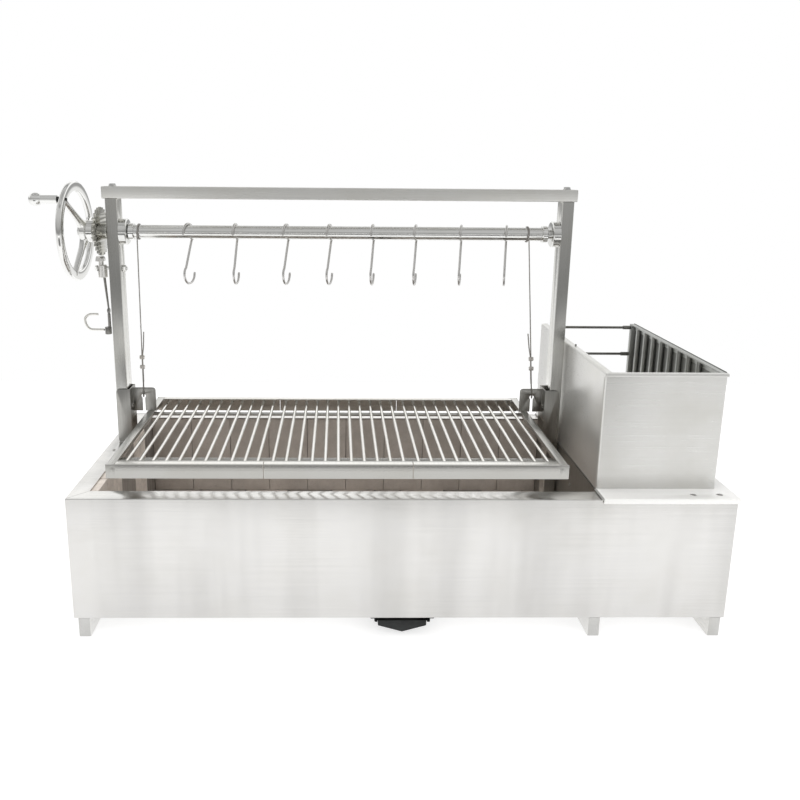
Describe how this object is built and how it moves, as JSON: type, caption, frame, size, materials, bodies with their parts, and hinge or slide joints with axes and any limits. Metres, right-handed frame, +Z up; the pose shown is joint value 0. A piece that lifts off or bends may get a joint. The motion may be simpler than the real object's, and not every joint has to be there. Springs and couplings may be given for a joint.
{
  "type": "wood-fire grill with crank-lifted grate",
  "caption": "Stainless wood-fire grill: brick-lined firebox, grate lifted by a handwheel winch with cables, pipe with hanging hooks, fire basket on a deck plate.",
  "frame": {"origin": "on the floor, under the middle of the whole object's box", "axes": "+X to the right along the length, +Y to the back, +Z up; the handwheel is at -X and the fire basket at +X"},
  "size_m": [1.6714, 0.608, 1.038],
  "materials": {
    "brushed_steel": "light stainless sheet, brushed lengthwise",
    "dark_steel": "stainless that reflects dark surroundings, satin",
    "polished_steel": "polished stainless",
    "rod_steel": "bright drawn stainless rod",
    "bar_steel": "plain stainless round bar",
    "black_steel": "matt black",
    "firebrick": "rough pinkish-brown firebrick",
    "wire_rope": "twisted steel wire rope"
  },
  "bodies": {
    "frame": {"firebox_shell": "brushed_steel", "firebox_partition": "dark_steel", "brick_floor": "firebrick", "brick_lining_left": "firebrick", "brick_lining_front": "firebrick", "brick_lining_rear": "firebrick", "runner_left": "brushed_steel", "runner_middle": "brushed_steel", "runner_right": "brushed_steel", "tray_rail_left": "black_steel", "tray_rail_right": "black_steel", "post_left": "dark_steel", "post_right": "dark_steel", "beam": "brushed_steel", "beam_bolt_left": "polished_steel", "beam_bolt_right": "polished_steel", "bearing_left": "polished_steel", "bearing_right": "polished_steel", "pawl_bolt": "polished_steel", "pawl_nut": "polished_steel", "cable_left": "wire_rope", "cable_right": "wire_rope"},
    "carriage": {"carriage_frame": "brushed_steel", "carriage_sleeve_left": "dark_steel", "carriage_sleeve_right": "dark_steel", "cable_loop_left": "wire_rope", "cable_loop_right": "wire_rope"},
    "grate_left": {"grate_panel_left": "rod_steel"},
    "grate_middle": {"grate_panel_middle": "rod_steel"},
    "grate_right": {"grate_panel_right": "rod_steel"},
    "drum": {"winch_shaft": "polished_steel", "drum_pipe": "polished_steel", "collar_left": "polished_steel", "collar_right": "polished_steel", "cable_wrap_left": "wire_rope", "cable_wrap_right": "wire_rope", "ratchet_wheel": "dark_steel", "handwheel": "polished_steel", "wheel_nut": "polished_steel", "handle_spindle": "black_steel"},
    "grip": {"handle_grip": "polished_steel"},
    "pawl_assembly": {"pawl": "brushed_steel", "pawl_rod": "dark_steel", "release_block": "dark_steel", "release_handle": "rod_steel"},
    "tray": {"ash_tray": "black_steel"},
    "deck": {"deck_plate": "brushed_steel"},
    "brasero": {"brasero_shell": "dark_steel", "brasero_bar_wall": "bar_steel", "brasero_rear_rod_upper": "bar_steel", "brasero_rear_rod_lower": "bar_steel"},
    "hook_1": {"s_hook_1": "polished_steel"},
    "hook_2": {"s_hook_2": "polished_steel"},
    "hook_3": {"s_hook_3": "polished_steel"},
    "hook_4": {"s_hook_4": "polished_steel"},
    "hook_5": {"s_hook_5": "polished_steel"},
    "hook_6": {"s_hook_6": "polished_steel"},
    "hook_7": {"s_hook_7": "polished_steel"},
    "hook_8": {"s_hook_8": "polished_steel"}
  },
  "joints": [
    {"name": "carriage_lift", "type": "slide", "parent": "frame", "child": "carriage", "axis": [0, 0, 1], "range_m": [0, 0.2], "deforming": ["cable_left", "cable_right"]},
    {"name": "drum_spin", "type": "hinge", "parent": "frame", "child": "drum", "pos_m": [-0.08, 0.0725, 0.911], "axis": [-1, 0, 0], "range_deg": [0, 600]},
    {"name": "grip_spin", "type": "hinge", "parent": "drum", "child": "grip", "pos_m": [-0.79, -0.00525, 0.99437], "axis": [1, 0, 0], "continuous": true},
    {"name": "pawl_release", "type": "hinge", "parent": "frame", "child": "pawl_assembly", "pos_m": [-0.69025, 0.0725, 0.816], "axis": [1, 0, 0], "range_deg": [-25, 25]},
    {"name": "tray_slide", "type": "slide", "parent": "frame", "child": "tray", "axis": [0, -1, 0], "range_m": [0, 0.4]},
    {"name": "grate_left_lift", "type": "slide", "parent": "carriage", "child": "grate_left", "axis": [0, 0, 1], "range_m": [0, 0.1]},
    {"name": "grate_middle_lift", "type": "slide", "parent": "carriage", "child": "grate_middle", "axis": [0, 0, 1], "range_m": [0, 0.1]},
    {"name": "grate_right_lift", "type": "slide", "parent": "carriage", "child": "grate_right", "axis": [0, 0, 1], "range_m": [0, 0.1]},
    {"name": "deck_lift", "type": "slide", "parent": "frame", "child": "deck", "axis": [0, 0, 1], "range_m": [0, 0.1]},
    {"name": "brasero_lift", "type": "slide", "parent": "deck", "child": "brasero", "axis": [0, 0, 1], "range_m": [0, 0.25]},
    {"name": "hook_1_swing", "type": "hinge", "parent": "frame", "child": "hook_1", "pos_m": [-0.46725, 0.0725, 0.911], "axis": [1, 0, 0], "range_deg": [-25, 25]},
    {"name": "hook_2_swing", "type": "hinge", "parent": "frame", "child": "hook_2", "pos_m": [-0.34625, 0.0725, 0.911], "axis": [1, 0, 0], "range_deg": [-25, 25]},
    {"name": "hook_3_swing", "type": "hinge", "parent": "frame", "child": "hook_3", "pos_m": [-0.21575, 0.0725, 0.911], "axis": [1, 0, 0], "range_deg": [-25, 25]},
    {"name": "hook_4_swing", "type": "hinge", "parent": "frame", "child": "hook_4", "pos_m": [-0.10425, 0.0725, 0.911], "axis": [1, 0, 0], "range_deg": [-25, 25]},
    {"name": "hook_5_swing", "type": "hinge", "parent": "frame", "child": "hook_5", "pos_m": [0.00725, 0.0725, 0.911], "axis": [1, 0, 0], "range_deg": [-25, 25]},
    {"name": "hook_6_swing", "type": "hinge", "parent": "frame", "child": "hook_6", "pos_m": [0.11825, 0.0725, 0.911], "axis": [1, 0, 0], "range_deg": [-25, 25]},
    {"name": "hook_7_swing", "type": "hinge", "parent": "frame", "child": "hook_7", "pos_m": [0.23575, 0.0725, 0.911], "axis": [1, 0, 0], "range_deg": [-25, 25]},
    {"name": "hook_8_swing", "type": "hinge", "parent": "frame", "child": "hook_8", "pos_m": [0.35325, 0.0725, 0.911], "axis": [1, 0, 0], "range_deg": [-25, 25]}
  ],
  "couplings": [
    {"joint": "drum_spin", "follows": "carriage_lift", "rad_per_m": 52.35}
  ]
}
